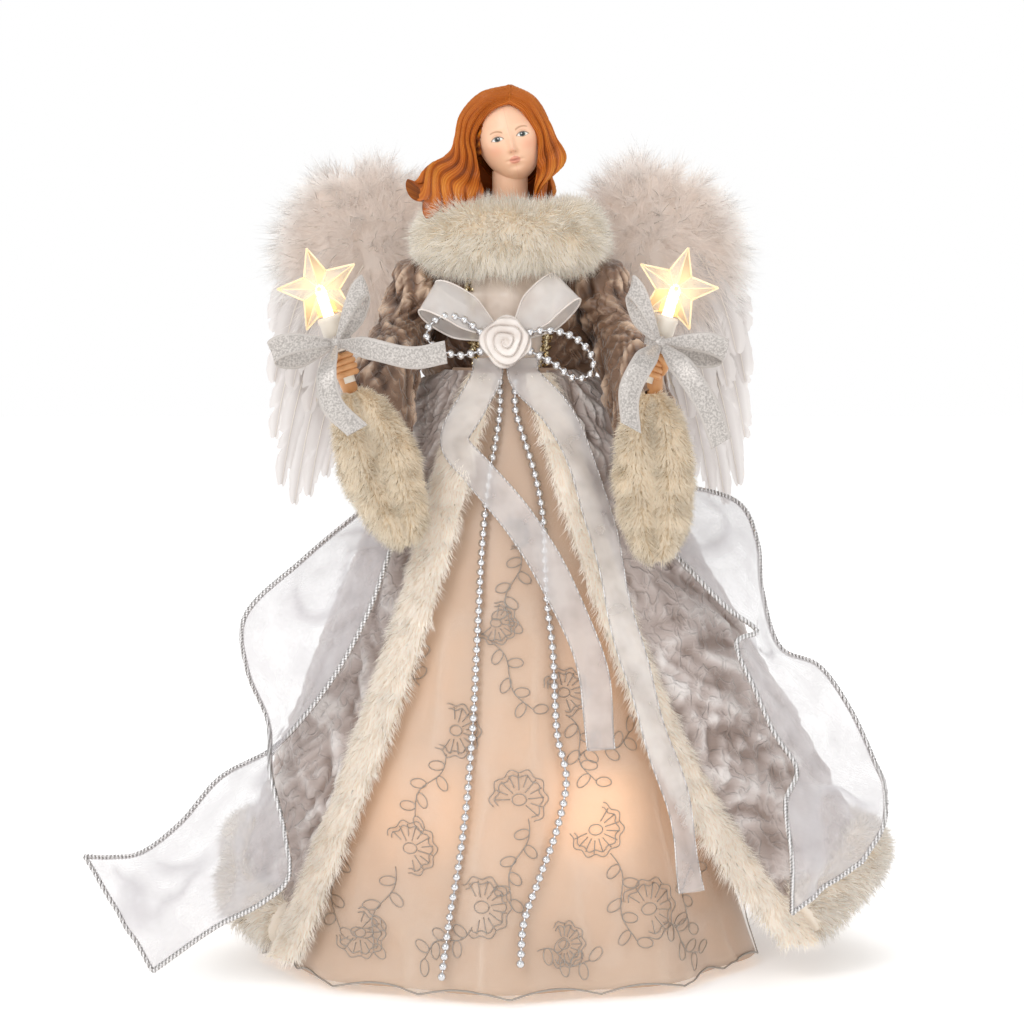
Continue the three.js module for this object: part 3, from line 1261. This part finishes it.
function addWing(name, side) {
  const core = plate(wingOutline(), WING_Y, WING_CORE_THICK, side);
  const [patchWide, patchDeep] = torsoHalf(wingRootZ).map((half) => half + patchOff + PATCH_THICK / 2);
  const patchBack = patchDeep * Math.sqrt(1 - (WING_ROOT_X / patchWide) ** 2);
  const rootY = patchBack + GAP + WING_STEM_R;
  const coreY = WING_Y + WING_CORE_THICK / 2;
  const stemDepths = [(rootY + WING_Y) / 2, coreY, coreY];
  const stemCurve = curveThrough([
    [side * WING_ROOT_X, rootY, wingRootZ],
    ...WING_STEM.map(([x, up], i) => [side * (WING_ROOT_X + x), stemDepths[i], wingRootZ + up]),
  ]);
  const stem = (grow) => tube(stemCurve, 5, 5, () => WING_STEM_R + grow);
  const root = ball(stemCurve.getPoint(0), WING_STEM_R, 6);
  part(`wing_core_${name}`, join(core, stem(0), root), "satin");

  const stagger = FEATHER_THICK + FEATHER_STEP;
  const stripThick = stagger + FEATHER_THICK;
  const stripFront = WING_Y - GAP - stripThick;
  const stripMiddle = stripFront + stripThick / 2;
  const bases = FEATHERS.map(({ base: [x, up] }) => [side * x, stripMiddle, wingRootZ + up]);
  const stripPath = curveThrough(bases);
  const onStrip = (u, v) => stripPath.getPoint(u).add(vec(0, 0, QUILL_STRIP_HEIGHT * (v - 0.5)));
  const strip = sheet(onStrip, 10, 1, stripThick);
  const vaneFront = (i) => stripFront + (i % 2) * stagger;
  const vanes = FEATHERS.map((place, i) => feather(place, side, vaneFront(i), FEATHER_THICK));
  part(`wing_feathers_${name}`, join(strip, ...vanes), "feather");

  const roomFront = stripFront - GAP;
  const roomThick = WING_Y + WING_CORE_THICK + GAP - roomFront;
  const room = FEATHERS.map((place) => feather(place, side, roomFront, roomThick, CLOTH_GAP));
  room.push(plate(wingOutline(WING_ROOM), roomFront, roomThick, side), stem(GAP));
  part(`wing_down_${name}`, cut(downPad(side), ...room), "feather");
}

// A lumpy pad of down over the upper part of the wing, on both faces.
function downPad(side) {
  const pad = new THREE.SphereGeometry(1, 14, 9);
  const at = pad.getAttribute("position");
  for (let i = 0; i < at.count; i++) {
    const p = vec(at.getX(i), at.getY(i), at.getZ(i));
    const lump = 1 + 0.05 * Math.sin(5 * p.x + 1) * Math.sin(6 * p.z + 2) + 0.04 * Math.sin(9 * p.x * p.z);
    p.multiplyScalar(lump).multiply(vec(...DOWN_HALF));
    at.setXYZ(i, p.x, p.y, p.z);
  }
  pad.rotateY(rad(DOWN_TURN)).translate(DOWN_AT[0], WING_Y, wingRootZ + DOWN_AT[1]);
  return pad.scale(side, 1, 1);
}

// Organza ribbons: a strip between two wired edges, sewn to the robe at its start

function addOrganza() {
  const off = (ROBE_THICK + ORGANZA_THICK) / 2 + CLOTH_GAP + ORGANZA_EASE;
  for (const [name, { seam, inner, outer }] of Object.entries(ORGANZA)) {
    const onRobe = ([angle, z]) => polar(robeRadius(angle, z) + off, angle, z);
    const line = (start, points) => curveThrough([onRobe(start), ...points]);
    const near = line(seam.inner, inner);
    const far = line(seam.outer, outer);
    // Where the strip would pass through the robe, it rests on it.
    const at = (u, v) => {
      const p = near.getPoint(u).lerp(far.getPoint(u), v);
      const angle = radToDeg(Math.atan2(p.x, -p.y));
      const r = Math.max(Math.hypot(p.x, p.y), robeRadius(angle, p.z) + off);
      return polar(r, angle, p.z);
    };
    part(`organza_ribbon_${name}`, sheet(at, 24, 3, ORGANZA_THICK), "organza");
  }
}

addCone();
addLamps();
addLampWire();
addTorso();
addWingPatch();
addHead();
addCollar();
addGown();
addRobe();
for (const [name, arm] of Object.entries(ARMS)) addArm(name, arm);
addWaistBow();
addBeads();
for (const [name, side] of SIDES) addWing(name, side);
addOrganza();

export default angel;
